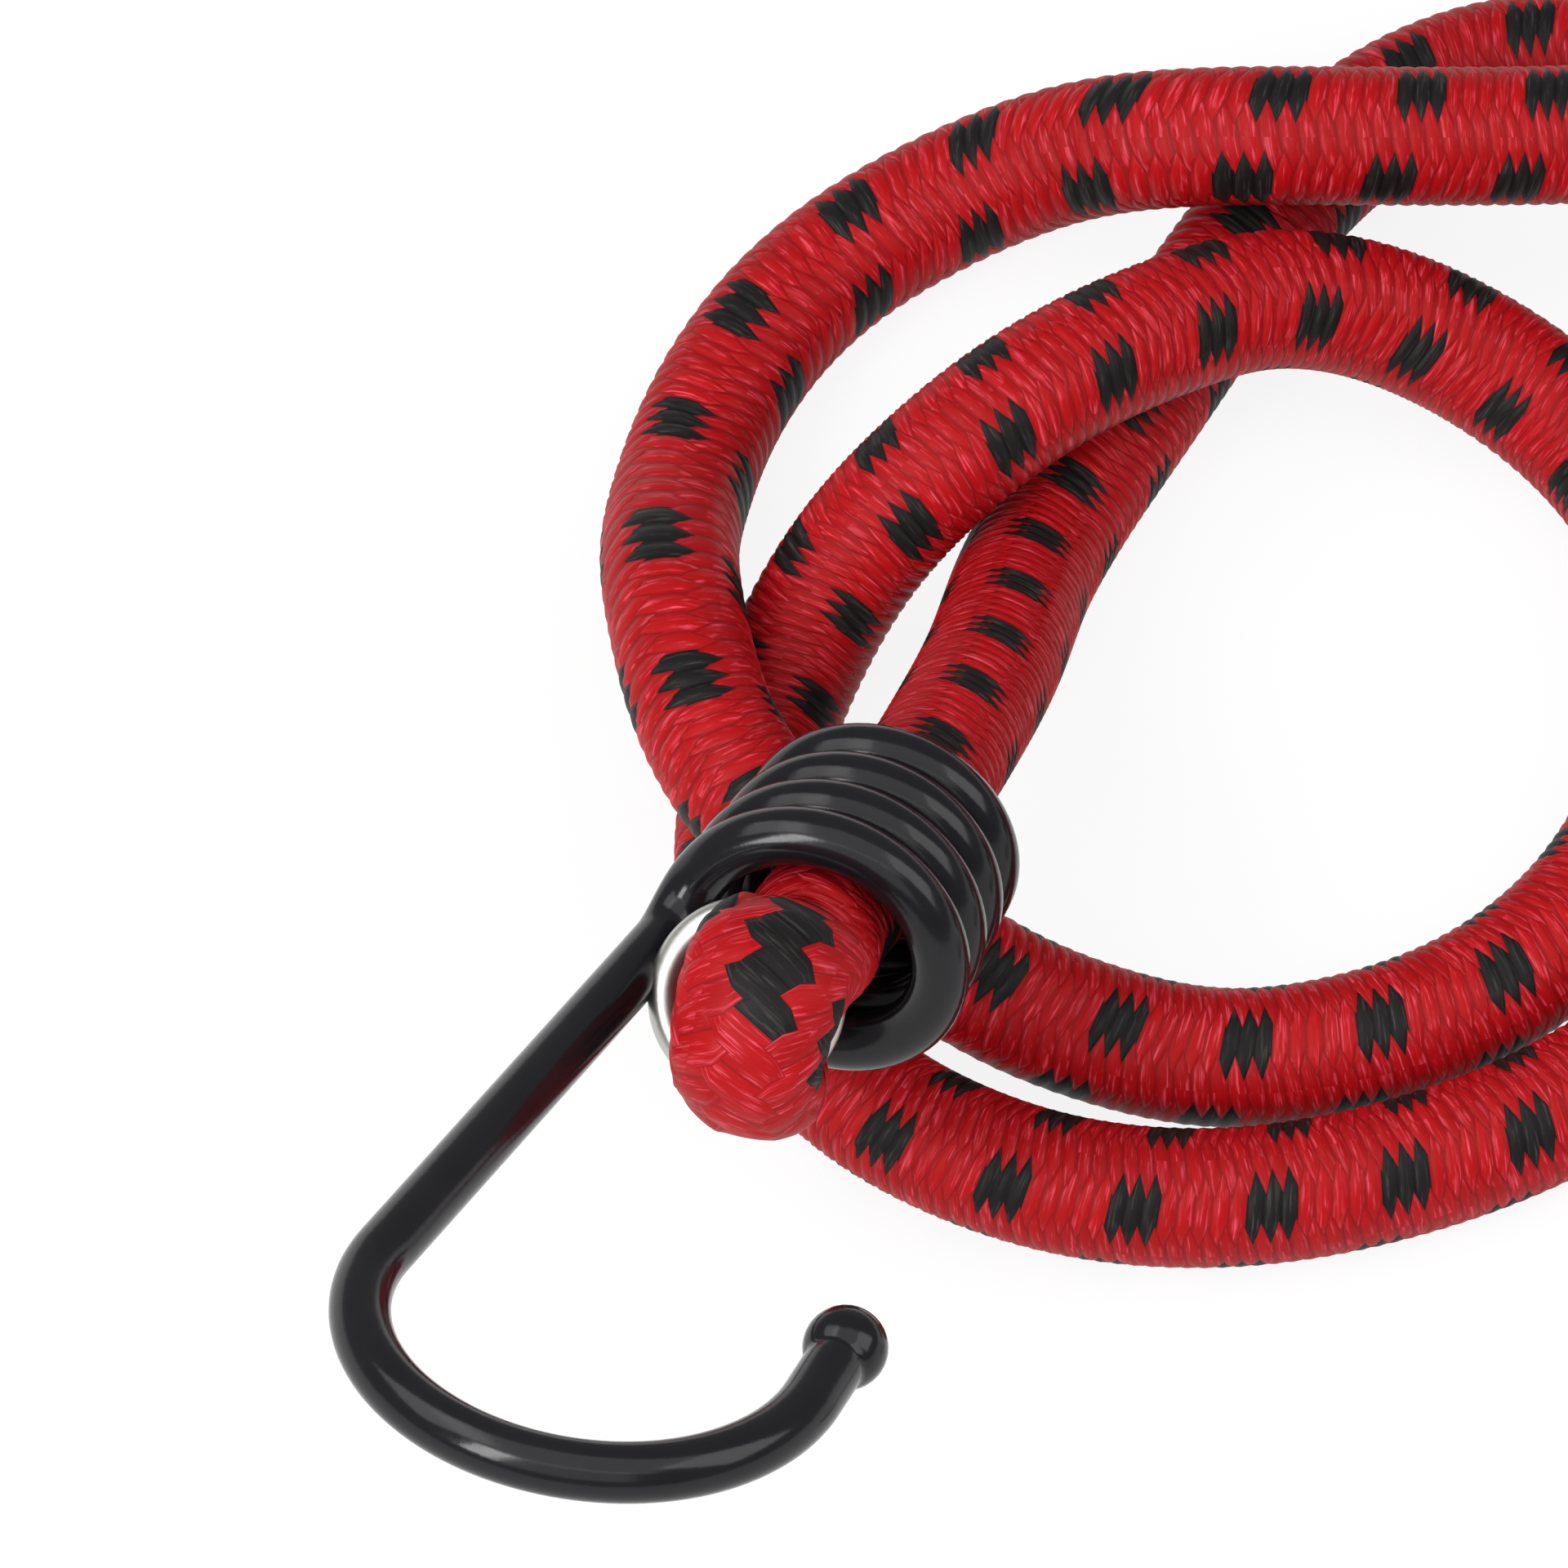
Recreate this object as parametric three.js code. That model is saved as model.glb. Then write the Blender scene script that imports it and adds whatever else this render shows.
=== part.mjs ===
// Bungee cord, about 68 cm hook to hook, lying in two loose loops with a coated wire hook at each end.
// Units are millimetres, +Z is up and the cord lies on the plane z = 0.
import * as THREE from 'three';

// Cord
const CORD_DIAMETER = 8;
const SHEATH_WALL = 1.1;
const CORD_SIDES = 8;
const STRAND_SIDE = 1.3;
const STRAND_PITCH = 1.6;
const LOOP_STEP = 8.2;
const GAP_SAMPLES = 700;
const GAP_NEIGHBOURS = 3;

// Hook wire and its vinyl coat
const WIRE_DIAMETER = 2.6;
const COAT_WALL = 0.35;
const COAT_CLEARANCE = 0.05;
const WIRE_SIDES = 8;

// Hook shape
const COIL_TURNS = 4;
const COIL_STEPS = 12;
const COIL_PITCH = 3.6;
const COIL_FRONT_RADIUS = 7.6;
const COIL_CORD_CLEARANCE = 0.5;
const NECK_RADIUS = 3.4;
const NECK_STEPS = 4;
const SHANK_LENGTH = 38.6;
const BEND_RADIUS = 13.3;
const BEND_SWEEP = 186;
const BEND_STEPS = 13;
const TIP_LENGTH = 3.4;
const KNOB_DIAMETER = 4.9;
const KNOB_GAP = 0.3;
const KNOB_ROWS = 7;
const KNOB_SIDES = 12;

// Wire ring that clamps the folded cord end
const RING_DIAMETER = 11.6;
const RING_WIRE = 1.9;
const RING_PLACE = 5;
const RING_STEPS = 22;
const RING_SIDES = 6;
const RING_ROOM = 0.2;
const RING_OPENING = 9;

// Folded cord end, in front of the coil. It is turned up from the coil axis about a point before the coil
// and its ring lies lower than that point. Each row: distance along the ring's axis, height from it, half
// width, half thickness. The first rows are the cut tail, the last ones the standing part.
const FOLD_TILT = 32;
const FOLD_PIVOT = 1;
const FOLD_DROP = 1.9;
const WAIST = RING_WIRE / 2 + RING_ROOM;
const FOLD_TAIL = [
  [2.4, -3.3, 3.3, 1.8],
  [RING_PLACE - WAIST, -1.75, 2.8, 1.5],
  [RING_PLACE + WAIST, -1.75, 2.8, 1.5],
  [7.8, -2.9, 4, 1.8],
];
const FOLD_STANDING = [
  [7.8, 2, 4, 2],
  [RING_PLACE + WAIST, 1.75, 2.8, 1.5],
  [RING_PLACE - WAIST, 1.75, 2.8, 1.5],
  [2.2, 2, 3.4, 2.2],
  [0.6, 2.3, 4, 3.2],
];
const FOLD_TURN = {
  before: 8.4,
  height: -1.3,
  radius: 3.4,
  halfWidth: 5.6,
  halfThickness: 3.2,
  steps: 5,
};

// Where the two hooks lie: the centre of the front coil turn, the coil axis towards the hook, and the
// turn of the hook about that axis from level.
const HOOK_A = { front: [1.4, -29, 25.6], axis: [-0.352, -0.867, 0.354], roll: 1.4 };
const HOOK_B = { front: [81, -2.5, 9.6], axis: [0, -0.99, -0.14], roll: 0 };

// Route of the cord's middle from the back of one coil to the back of the other. At a height of 3.2 the
// cord lies on the surface with its underside pressed flat; where it is higher it passes over itself.
const ROUTE = [
  [11.8, -0.3, 12.2], [13.1, 6.6, 8], [13.8, 10.4, 5.7], [15.1, 14.2, 4.3], [16.8, 18, 3.6],
  [20.3, 24.3, 3.2], [22.8, 28.8, 3.2], [25.6, 33.5, 3.2], [29.6, 39.6, 3.2], [35, 45, 3.2],
  [42, 48.2, 3.2], [50, 47.8, 3.2], [57, 44, 3.2], [62, 38, 3.2], [65, 30, 3.2],
  [66, 21, 3.2], [65.5, 11, 3.2], [63.5, 1, 3.2], [59.5, -8.5, 3.2], [53.5, -17, 3.2],
  [45.5, -24, 3.2], [36, -28.6, 3.2], [26, -30.8, 3.2], [17, -30.2, 3.2], [9.8, -27.5, 3.2],
  [3.8, -23.3, 3.2], [-0.2, -17.5, 3.2], [-2.2, -11, 3.2], [-2.3, -5, 3.2], [-1.6, -0.5, 3.5],
  [-0.3, 3.3, 4.2], [1.9, 7.6, 6.3], [4.6, 10.8, 9], [8, 13.4, 11.6], [12.5, 16.9, 13.2],
  [16.5, 19.9, 13.2], [20, 22.4, 12.6], [23.3, 24.5, 11.6], [26, 26.3, 10.8], [30, 27.6, 9.4],
  [35, 27.8, 7.2], [41, 26, 4.6], [46.2, 22, 3.3], [49.8, 16.5, 3.2], [51.5, 9.5, 3.2],
  [51.3, 2, 3.2], [49.3, -5.5, 3.2], [45.2, -12.2, 3.2], [39.5, -17.2, 3.2], [32.5, -20.2, 3.2],
  [25, -21.3, 3.2], [17.5, -19.9, 4.1], [12, -18.4, 6], [7.5, -16.4, 8.4], [4, -14.4, 10.4],
  [1, -12.2, 11.7], [-1.4, -10, 12.2], [-3.6, -6.4, 12.3], [-5.2, -1.6, 11.8], [-6, 3, 11],
  [-6.6, 8.3, 9.1], [-6.6, 12.4, 6.8], [-5.9, 17.5, 4.2], [-4.5, 22.8, 3.3], [-1.6, 28.6, 3.2],
  [2.4, 33.5, 3.2], [7, 37, 3.4], [11.6, 39, 4.5], [15.9, 39.4, 6.7], [19.6, 38.7, 9],
  [23, 37.8, 10.8], [27, 37.2, 11.9], [32, 37, 12.1], [39.5, 37.6, 11.2], [47, 38.3, 10.4],
  [54.5, 38.6, 11.2], [62, 37.4, 12], [69, 34, 12.3], [75, 28.5, 12.3], [79.2, 22.5, 12.3],
];

// The origin is moved under the middle of the whole lying cord.
const FRAME_SHIFT = [-36.48, 13.15, 0];

const UP = new THREE.Vector3(0, 0, 1);
const CORD_RADIUS = CORD_DIAMETER / 2;
const COAT_OUTER = WIRE_DIAMETER / 2 + COAT_CLEARANCE + COAT_WALL;
const COIL_REAR_RADIUS = CORD_RADIUS + COIL_CORD_CLEARANCE + COAT_OUTER;
const COIL_LENGTH = COIL_TURNS * COIL_PITCH;
const CONE_ANGLE = Math.atan2(COIL_FRONT_RADIUS - COIL_REAR_RADIUS, COIL_LENGTH);

// A flat-sided round section, with a flat at the top, the bottom and both sides.
function roundSection(radius, sides) {
  return Array.from({ length: sides }, (_, i) => {
    const angle = ((i + 0.5) / sides) * 2 * Math.PI;
    return [radius * Math.cos(angle), radius * Math.sin(angle)];
  });
}

function squareSection(x, y, side) {
  const h = side / 2;
  return [[x - h, y - h], [x + h, y - h], [x + h, y + h], [x - h, y + h]];
}

// Carries a section along stations { point, across, over, width, height } and closes both ends. With an
// inner section of as many points the body is a pipe.
function sweep(stations, outer, inner = null, lowest = -Infinity) {
  const rings = inner ? [outer, inner] : [outer];
  const count = outer.length;
  const positions = [];
  stations.forEach((s) => {
    rings.forEach((ring) => {
      ring.forEach(([x, y]) => {
        const v = s.point.clone();
        v.addScaledVector(s.across, x * s.width);
        v.addScaledVector(s.over, y * s.height);
        positions.push(v.x, v.y, Math.max(v.z, lowest));
      });
    });
  });
  const stride = count * rings.length;
  const index = [];
  const quad = (a, b, c, d) => index.push(a, b, c, a, c, d);
  for (let s = 0; s + 1 < stations.length; s += 1) {
    for (let i = 0; i < count; i += 1) {
      const j = (i + 1) % count;
      const a = s * stride;
      const b = a + stride;
      quad(a + i, a + j, b + j, b + i);
      if (inner) quad(a + count + i, b + count + i, b + count + j, a + count + j);
    }
  }
  const last = (stations.length - 1) * stride;
  for (let i = 0; i < count; i += 1) {
    const j = (i + 1) % count;
    if (inner) {
      quad(j, i, count + i, count + j);
      quad(last + i, last + j, last + count + j, last + count + i);
    } else if (i > 0 && j > 0) {
      index.push(0, j, i, last, last + i, last + j);
    }
  }
  const geometry = new THREE.BufferGeometry();
  geometry.setAttribute('position', new THREE.Float32BufferAttribute(positions, 3));
  geometry.setIndex(volume(positions, index) < 0 ? index.reverse() : index);
  geometry.computeVertexNormals();
  return geometry;
}

function volume(positions, index) {
  const corner = (k) => new THREE.Vector3().fromArray(positions, 3 * index[k]);
  let sum = 0;
  for (let k = 0; k < index.length; k += 3) {
    sum += corner(k).dot(corner(k + 1).cross(corner(k + 2)));
  }
  return sum / 6;
}

// A hook's frame: x towards the tip, y out of the hook's plane, z along the coil axis.
function hookFrame({ front, axis, roll }) {
  const forward = new THREE.Vector3(...axis).normalize();
  const level = new THREE.Vector3().crossVectors(UP, forward).normalize();
  return {
    origin: new THREE.Vector3(...front),
    forward,
    level,
    rise: new THREE.Vector3().crossVectors(forward, level),
    tip: level.clone().applyAxisAngle(forward, THREE.MathUtils.degToRad(roll)),
  };
}

// The frame of the folded end: its ring's axis, turned up from the coil axis.
function foldFrame(frame) {
  const tilt = THREE.MathUtils.degToRad(-FOLD_TILT);
  const forward = frame.forward.clone().applyAxisAngle(frame.level, tilt);
  const rise = frame.rise.clone().applyAxisAngle(frame.level, tilt);
  const origin = place(frame, FOLD_PIVOT, 0).addScaledVector(rise, -FOLD_DROP);
  return { origin, forward, level: frame.level, rise };
}

// The point that far along a frame's axis and that high above it.
function place(frame, before, height) {
  return frame.origin.clone().addScaledVector(frame.forward, before).addScaledVector(frame.rise, height);
}

// The folded end as stations from the cut tail to the back of the coil.
function foldStations(frame) {
  const rows = [...FOLD_TAIL];
  for (let i = 0; i <= FOLD_TURN.steps; i += 1) {
    const angle = Math.PI * (i / FOLD_TURN.steps - 0.5);
    rows.push([
      FOLD_TURN.before + FOLD_TURN.radius * Math.cos(angle),
      FOLD_TURN.height + FOLD_TURN.radius * Math.sin(angle),
      FOLD_TURN.halfWidth,
      FOLD_TURN.halfThickness,
    ]);
  }
  rows.push(...FOLD_STANDING);
  const coilRows = [0, -COIL_LENGTH / 2, -COIL_LENGTH].map((z) => [z, 0, CORD_RADIUS, CORD_RADIUS]);
  const station = (from) => ([before, height, halfWidth, halfThickness]) => ({
    point: place(from, before, height),
    across: frame.level,
    width: halfWidth / CORD_RADIUS,
    height: halfThickness / CORD_RADIUS,
  });
  return [...rows.map(station(foldFrame(frame))), ...coilRows.map(station(frame))];
}

// Gives every station its direction and the section's second axis.
function orient(stations) {
  const last = stations.length - 1;
  return stations.map((s, i) => {
    const next = stations[Math.min(i + 1, last)].point;
    const before = stations[Math.max(i - 1, 0)].point;
    const along = next.clone().sub(before).normalize();
    const across = s.across ?? new THREE.Vector3().crossVectors(along, UP);
    across.addScaledVector(along, -across.dot(along)).normalize();
    return { ...s, across, over: new THREE.Vector3().crossVectors(across, along) };
  });
}

function cordStations(frameA, frameB) {
  const start = foldStations(frameA);
  const end = foldStations(frameB).reverse();
  end.forEach((s) => { s.across = s.across.clone().negate(); });
  const back = (frame) => place(frame, -COIL_LENGTH - CORD_RADIUS, 0);
  const points = [
    start.at(-1).point,
    back(frameA),
    ...ROUTE.map((p) => new THREE.Vector3(...p)),
    back(frameB),
    end[0].point,
  ];
  const curve = new THREE.CatmullRomCurve3(points, false, 'centripetal');
  curve.arcLengthDivisions = 2000;
  const steps = Math.round(curve.getLength() / LOOP_STEP);
  const between = curve.getSpacedPoints(steps).slice(1, -1);
  const route = between.map((point) => ({ point, width: 1, height: 1 }));
  return { stations: orient([...start, ...route, ...end]), free: curve.getLength(), curve };
}

// Least gap between stretches of the free cord that are not neighbours, measured on points.
function leastGap(curve, diameter) {
  const points = curve.getSpacedPoints(GAP_SAMPLES);
  const step = curve.getLength() / GAP_SAMPLES;
  const apart = Math.ceil((GAP_NEIGHBOURS * diameter) / step);
  let least = Infinity;
  points.forEach((p, i) => {
    for (let j = i + apart; j < points.length; j += 1) {
      least = Math.min(least, p.distanceTo(points[j]));
    }
  });
  return least - diameter;
}

// The hook's wire line in its own frame: coil from its cut back end, neck, shank, bend and tip.
function hookLine() {
  const rows = [];
  const put = (x, y, z, ux, uy, uz) => rows.push({
    point: new THREE.Vector3(x, y, z),
    across: new THREE.Vector3(ux, uy, uz).normalize(),
  });
  const neckTurn = Math.asin(NECK_RADIUS / COIL_FRONT_RADIUS) / (2 * Math.PI);
  const steps = Math.round((COIL_TURNS - neckTurn) * COIL_STEPS);
  for (let i = 0; i <= steps; i += 1) {
    const turn = COIL_TURNS + (neckTurn - COIL_TURNS) * (i / steps);
    const angle = Math.PI - 2 * Math.PI * turn;
    const z = -COIL_PITCH * turn;
    const radius = COIL_FRONT_RADIUS + z * Math.tan(CONE_ANGLE);
    put(radius * Math.cos(angle), radius * Math.sin(angle), z, Math.cos(angle), Math.sin(angle), 0);
  }
  const sin = Math.sin(CONE_ANGLE);
  const cos = Math.cos(CONE_ANGLE);
  for (let i = 1; i <= NECK_STEPS; i += 1) {
    const angle = (Math.PI / 2) * (i / NECK_STEPS);
    const z = NECK_RADIUS * (1 - Math.cos(angle));
    const y = NECK_RADIUS * (1 - Math.sin(angle));
    put(-COIL_FRONT_RADIUS - z * Math.tan(CONE_ANGLE), y, z, -cos, 0, -sin);
  }
  const shank = (s) => [-COIL_FRONT_RADIUS - s * sin, s * cos];
  const [hx, hz] = shank(SHANK_LENGTH / 2);
  put(hx, 0, hz, -cos, 0, -sin);
  const [tx, tz] = shank(SHANK_LENGTH);
  const cx = tx + BEND_RADIUS * cos;
  const cz = tz + BEND_RADIUS * sin;
  const sweepAngle = THREE.MathUtils.degToRad(BEND_SWEEP);
  for (let i = 0; i <= BEND_STEPS; i += 1) {
    const angle = Math.PI + CONE_ANGLE - sweepAngle * (i / BEND_STEPS);
    const [ux, uz] = [Math.cos(angle), Math.sin(angle)];
    put(cx + BEND_RADIUS * ux, 0, cz + BEND_RADIUS * uz, ux, 0, uz);
  }
  const endAngle = Math.PI + CONE_ANGLE - sweepAngle;
  const out = new THREE.Vector3(Math.sin(endAngle), 0, -Math.cos(endAngle));
  const tip = rows.at(-1).point.clone().addScaledVector(out, TIP_LENGTH);
  rows.push({ point: tip, across: rows.at(-1).across.clone() });
  return { stations: orient(rows.map((r) => ({ ...r, width: 1, height: 1 }))), tip, out };
}

function knobGeometry() {
  const r = KNOB_DIAMETER / 2;
  const neck = COAT_OUTER;
  const sunk = Math.sqrt(r * r - neck * neck);
  const profile = [new THREE.Vector2(0, 0)];
  const start = Math.asin(neck / r);
  for (let i = 0; i < KNOB_ROWS; i += 1) {
    const angle = start + (Math.PI - start) * (i / KNOB_ROWS);
    profile.push(new THREE.Vector2(r * Math.sin(angle), sunk - r * Math.cos(angle)));
  }
  profile.push(new THREE.Vector2(0, sunk + r));
  return new THREE.LatheGeometry(profile, KNOB_SIDES);
}

function ringGeometry() {
  const radius = (RING_DIAMETER - RING_WIRE) / 2;
  const open = THREE.MathUtils.degToRad(RING_OPENING);
  const rows = [];
  for (let i = 0; i <= RING_STEPS; i += 1) {
    const angle = -Math.PI / 2 + open / 2 + (2 * Math.PI - open) * (i / RING_STEPS);
    const across = new THREE.Vector3(Math.cos(angle), Math.sin(angle), 0);
    rows.push({ point: across.clone().multiplyScalar(radius), across, width: 1, height: 1 });
  }
  return sweep(orient(rows), roundSection(RING_WIRE / 2, RING_SIDES));
}

const MATERIALS = {
  sheath: new THREE.MeshStandardMaterial({ color: 0xa22223, roughness: 0.62, metalness: 0 }),
  rubber: new THREE.MeshStandardMaterial({ color: 0xd8c7a0, roughness: 0.75, metalness: 0 }),
  steel: new THREE.MeshStandardMaterial({ color: 0x8d8f92, roughness: 0.4, metalness: 1 }),
  vinyl: new THREE.MeshStandardMaterial({ color: 0x1d1a1b, roughness: 0.35, metalness: 0 }),
  nickel: new THREE.MeshStandardMaterial({ color: 0xc9c8c4, roughness: 0.22, metalness: 1 }),
};

function mesh(name, geometry, material) {
  const piece = new THREE.Mesh(geometry, MATERIALS[material]);
  piece.name = name;
  return piece;
}

// Wire, coat and tip knob of one hook, in the hook's frame.
function hookGroup(suffix, frame) {
  const group = new THREE.Group();
  const { stations, tip, out } = hookLine();
  const wire = roundSection(WIRE_DIAMETER / 2, WIRE_SIDES);
  const bore = roundSection(WIRE_DIAMETER / 2 + COAT_CLEARANCE, WIRE_SIDES);
  group.add(mesh(`hook_wire_${suffix}`, sweep(stations, wire), 'steel'));
  const skin = roundSection(COAT_OUTER, WIRE_SIDES);
  group.add(mesh(`hook_coat_${suffix}`, sweep(stations, skin, bore), 'vinyl'));
  const knob = mesh(`tip_knob_${suffix}`, knobGeometry(), 'vinyl');
  knob.position.copy(tip).addScaledVector(out, KNOB_GAP);
  knob.quaternion.setFromUnitVectors(new THREE.Vector3(0, 1, 0), out);
  group.add(knob);
  const normal = new THREE.Vector3().crossVectors(frame.forward, frame.tip);
  group.quaternion.setFromRotationMatrix(new THREE.Matrix4().makeBasis(frame.tip, normal, frame.forward));
  group.position.copy(frame.origin);
  return group;
}

function ringMesh(suffix, hook) {
  const ring = mesh(`ring_clip_${suffix}`, ringGeometry(), 'nickel');
  const frame = foldFrame(hook);
  const basis = new THREE.Matrix4().makeBasis(frame.level, frame.rise, frame.forward);
  ring.quaternion.setFromRotationMatrix(basis);
  ring.position.copy(place(frame, RING_PLACE, 0));
  return ring;
}

const frameA = hookFrame(HOOK_A);
const frameB = hookFrame(HOOK_B);
const cord = cordStations(frameA, frameB);
const bungee = new THREE.Group();
const sheathSkin = roundSection(CORD_RADIUS, CORD_SIDES);
const sheathBore = roundSection(CORD_RADIUS - SHEATH_WALL, CORD_SIDES);
bungee.add(mesh('cord_sheath', sweep(cord.stations, sheathSkin, sheathBore, 0), 'sheath'));
[[-1, -1], [1, -1], [1, 1], [-1, 1]].forEach(([i, j], k) => {
  const section = squareSection((i * STRAND_PITCH) / 2, (j * STRAND_PITCH) / 2, STRAND_SIDE);
  bungee.add(mesh(`rubber_strand_${k + 1}`, sweep(cord.stations, section), 'rubber'));
});
[['a', frameA], ['b', frameB]].forEach(([suffix, frame]) => {
  bungee.add(ringMesh(suffix, frame));
  bungee.add(hookGroup(suffix, frame));
});
bungee.position.set(...FRAME_SHIFT);

const gap = leastGap(cord.curve, CORD_DIAMETER);
console.log(`free cord ${cord.free.toFixed(1)} mm, least gap ${gap.toFixed(2)} mm`);

export default bungee;
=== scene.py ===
# %% [markdown]
# # A bungee cord lying in loose loops
# An elastic cord has three kinds of surface: a braided red sheath with black flecks, black vinyl dipped on
# the wire hooks, and a bright wire ring that clamps each folded end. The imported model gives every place
# and size. This lesson dresses it: each surface is an array of points worked out with numpy, and each
# finish is a small graph of nodes that follows the surface. Lengths are in millimetres; names that end in
# _M, the lamps and the finishes count in metres, as Blender does.

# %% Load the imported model
import math

import bpy
import numpy as np
from mathutils import Matrix


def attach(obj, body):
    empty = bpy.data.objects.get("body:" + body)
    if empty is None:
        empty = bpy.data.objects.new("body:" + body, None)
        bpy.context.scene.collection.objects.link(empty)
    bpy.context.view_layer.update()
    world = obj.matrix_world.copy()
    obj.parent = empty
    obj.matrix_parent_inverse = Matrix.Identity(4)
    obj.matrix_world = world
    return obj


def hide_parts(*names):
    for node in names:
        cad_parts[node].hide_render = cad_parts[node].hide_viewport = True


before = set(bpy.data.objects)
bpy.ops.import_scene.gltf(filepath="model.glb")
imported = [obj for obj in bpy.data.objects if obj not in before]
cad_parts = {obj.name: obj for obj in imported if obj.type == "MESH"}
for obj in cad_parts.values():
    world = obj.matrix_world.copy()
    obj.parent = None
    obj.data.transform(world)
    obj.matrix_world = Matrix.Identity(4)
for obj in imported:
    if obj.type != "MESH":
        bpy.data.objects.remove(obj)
scene = bpy.context.scene
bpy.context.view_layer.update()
MM = 0.001

# %% [markdown]
# ## The camera
# The cord fills the picture, so the camera stands far away with a long lens, which keeps near and far
# turns of the hook at one scale. It looks down at 56 degrees from the front. One millimetre at the object
# is a fixed share of the frame, so the lens follows from the distance. The route and the hooks are written
# from the middle of the picture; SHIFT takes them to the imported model, whose origin is its own middle.

# %% Camera
SHIFT = np.array([-36.48, 13.15, 0.0])
ELEVATION = math.radians(56)
DISTANCE_MM = 4000.0
FRAME_WIDTH_MM = 90.35
SENSOR_MM = 36.0
CLIP_END_M = 20.0
towards_camera = np.array([0.0, -math.cos(ELEVATION), math.sin(ELEVATION)])

camera = bpy.data.objects.new("camera", bpy.data.cameras.new("camera"))
scene.collection.objects.link(camera)
camera.data.sensor_width = SENSOR_MM
camera.data.lens = SENSOR_MM * DISTANCE_MM / FRAME_WIDTH_MM
camera.data.clip_end = CLIP_END_M
camera.location = (SHIFT + towards_camera * DISTANCE_MM) * MM
camera.rotation_euler = (math.pi / 2 - ELEVATION, 0.0, 0.0)
scene.camera = camera
print("lens", round(camera.data.lens, 1), "mm")

# %% [markdown]
# ## Points on a line
# Cord, hook and ring are all profiles carried along a line. A line is an array of points, which may carry
# more columns, such as a width. Three helpers are enough: a curve through given points, even spacing along
# it, and a smoothing that takes out the small changes of bend that such a curve has at its points. A
# Blender curve with a bevel would give a tube too, but no braid and no squeezed sections.


# %% Lines
def unit(vectors):
    """Each vector divided by its own length."""
    return vectors / np.linalg.norm(vectors, axis=-1, keepdims=True)


def cubic(t, first, first_slope, last, last_slope):
    """The cubic that leaves first at t = 0 and reaches last at t = 1 with the given slopes."""
    return (
        (2 * t**3 - 3 * t**2 + 1) * first
        + (t**3 - 2 * t**2 + t) * first_slope
        + (3 * t**2 - 2 * t**3) * last
        + (t**3 - t**2) * last_slope
    )


def through(points, per_span=16):
    """Centripetal Catmull-Rom curve: each span is a cubic whose end slopes come from the neighbouring
    points, weighted by the square roots of the spans."""
    p = np.vstack([2 * points[0] - points[1], points, 2 * points[-1] - points[-2]])
    gap = np.sqrt(np.linalg.norm(np.diff(p[:, :3], axis=0), axis=1))[:, None]
    g0, g1, g2 = gap[:-2], gap[1:-1], gap[2:]
    p0, p1, p2, p3 = p[:-3], p[1:-2], p[2:-1], p[3:]
    slope1 = ((p1 - p0) / g0 - (p2 - p0) / (g0 + g1) + (p2 - p1) / g1) * g1
    slope2 = ((p2 - p1) / g1 - (p3 - p1) / (g1 + g2) + (p3 - p2) / g2) * g1
    t = np.linspace(0, 1, per_span, endpoint=False)[None, :, None]
    spans = cubic(t, p1[:, None], slope1[:, None], p2[:, None], slope2[:, None])
    return np.vstack([spans.reshape(-1, points.shape[1]), points[-1:]])


def lengths(points):
    """Distance along the line at each point: the running sum of the spans."""
    return np.r_[0, np.cumsum(np.linalg.norm(np.diff(points[:, :3], axis=0), axis=1))]


def columns_at(x, known, table):
    """Every column of a table, read at new places x between the known ones."""
    return np.stack([np.interp(x, known, column) for column in table.T], axis=1)


def even(points, step):
    """The same line with points a fixed step apart."""
    s = lengths(points)
    return columns_at(np.linspace(0, s[-1], round(s[-1] / step) + 1), s, points)


def smoothed(table, sigma):
    """Each column averaged with bell weights of width sigma rows, out to four of them. The ends are
    mirrored so they stay put."""
    reach = int(4 * sigma) + 1
    bell = np.exp(-0.5 * (np.arange(-reach, reach + 1) / sigma) ** 2)
    bell /= bell.sum()
    before = 2 * table[0] - table[reach:0:-1]
    after = 2 * table[-1] - table[-2 : -reach - 2 : -1]
    padded = np.vstack([before, table, after])
    return np.stack([np.convolve(column, bell, "valid") for column in padded.T], axis=1)


# %% [markdown]
# ## Surfaces
# A surface is a grid of points: one row for each place along the line, one column for each place round it.
# The faces only join neighbours, so they are index arithmetic on whole arrays. A map of two numbers can go
# with the grid; it is kept for each face corner, so that it doesn't smear where the grid closes.


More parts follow.
